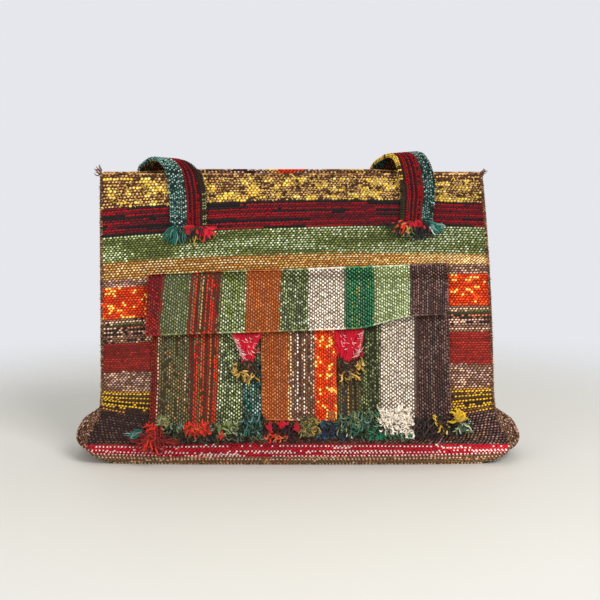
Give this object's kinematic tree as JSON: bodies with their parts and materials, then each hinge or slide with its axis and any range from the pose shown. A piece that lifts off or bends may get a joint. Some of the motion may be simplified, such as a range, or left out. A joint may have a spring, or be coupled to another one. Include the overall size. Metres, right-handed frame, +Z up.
{
  "type": "kilim shoulder bag",
  "caption": "Woven kilim tote with a foot-like gusseted base, shoulder handles thrown back over the mouth, and a flap pocket with a tongue and yarn fringe.",
  "frame": {"origin": "middle of the base strip's underside, on the surface the bag stands on", "axes": "+X to the right seen from the front, +Y towards the back, +Z up; the pocket faces -Y"},
  "size_m": [0.4606, 0.1263, 0.3148],
  "materials": {
    "striped_kilim": "coarse woven wool and cotton in cross stripes of gold slub, crimson, green, tan, orange, brick and plum",
    "tweed_strip": "brown, tan and white weft tweed with a hairy selvedge",
    "facing_kilim": "woven stripes in cream, gold, orange and plum",
    "cotton_lining": "plain cotton",
    "pocket_kilim": "woven upright stripes in olive, rust red, green, cream and plum",
    "flap_kilim": "woven upright stripes in crimson, sage, rust, pale green, cream, emerald and plum",
    "tongue_kilim": "woven upright stripes in rust, brown marl and orange",
    "strap_weave": "woven band, teal and white beside crimson and black",
    "tuft_teal_red": "cut yarn ends in teal and crimson",
    "tuft_carnation": "cut yarn ends in carnation red over olive and yellow",
    "fringe_teal": "cut yarn ends",
    "fringe_olive": "cut yarn ends",
    "fringe_navy": "cut yarn ends",
    "fringe_orange": "curly yarn ends",
    "fringe_pine_green": "looped yarn ends",
    "fringe_crimson": "looped yarn ends",
    "fringe_emerald": "cut yarn ends",
    "fringe_cream": "fluffy yarn ends",
    "fringe_plum": "cut yarn ends",
    "fringe_yellow": "thick yarn ends"
  },
  "bodies": {
    "root": {"front_panel": "striped_kilim", "back_panel": "striped_kilim", "base_and_side_strip": "tweed_strip", "front_facing": "facing_kilim", "back_facing": "facing_kilim", "lining": "cotton_lining", "pocket_panel": "pocket_kilim", "pocket_flap": "flap_kilim", "flap_tongue": "tongue_kilim", "front_strap": "strap_weave", "back_strap": "strap_weave", "strap_tuft_front_left": "tuft_teal_red", "strap_tuft_front_right": "tuft_teal_red", "strap_tuft_back_left": "tuft_teal_red", "strap_tuft_back_right": "tuft_teal_red", "flap_tuft_left": "tuft_carnation", "flap_tuft_right": "tuft_carnation", "pocket_fringe_01": "fringe_teal", "pocket_fringe_02": "fringe_olive", "pocket_fringe_03": "fringe_orange", "pocket_fringe_04": "fringe_pine_green", "pocket_fringe_05": "fringe_teal", "pocket_fringe_06": "fringe_crimson", "pocket_fringe_07": "fringe_olive", "pocket_fringe_08": "fringe_navy", "pocket_fringe_09": "fringe_emerald", "pocket_fringe_10": "fringe_cream", "pocket_fringe_11": "fringe_plum", "pocket_fringe_12": "fringe_yellow"}
  },
  "joints": []
}
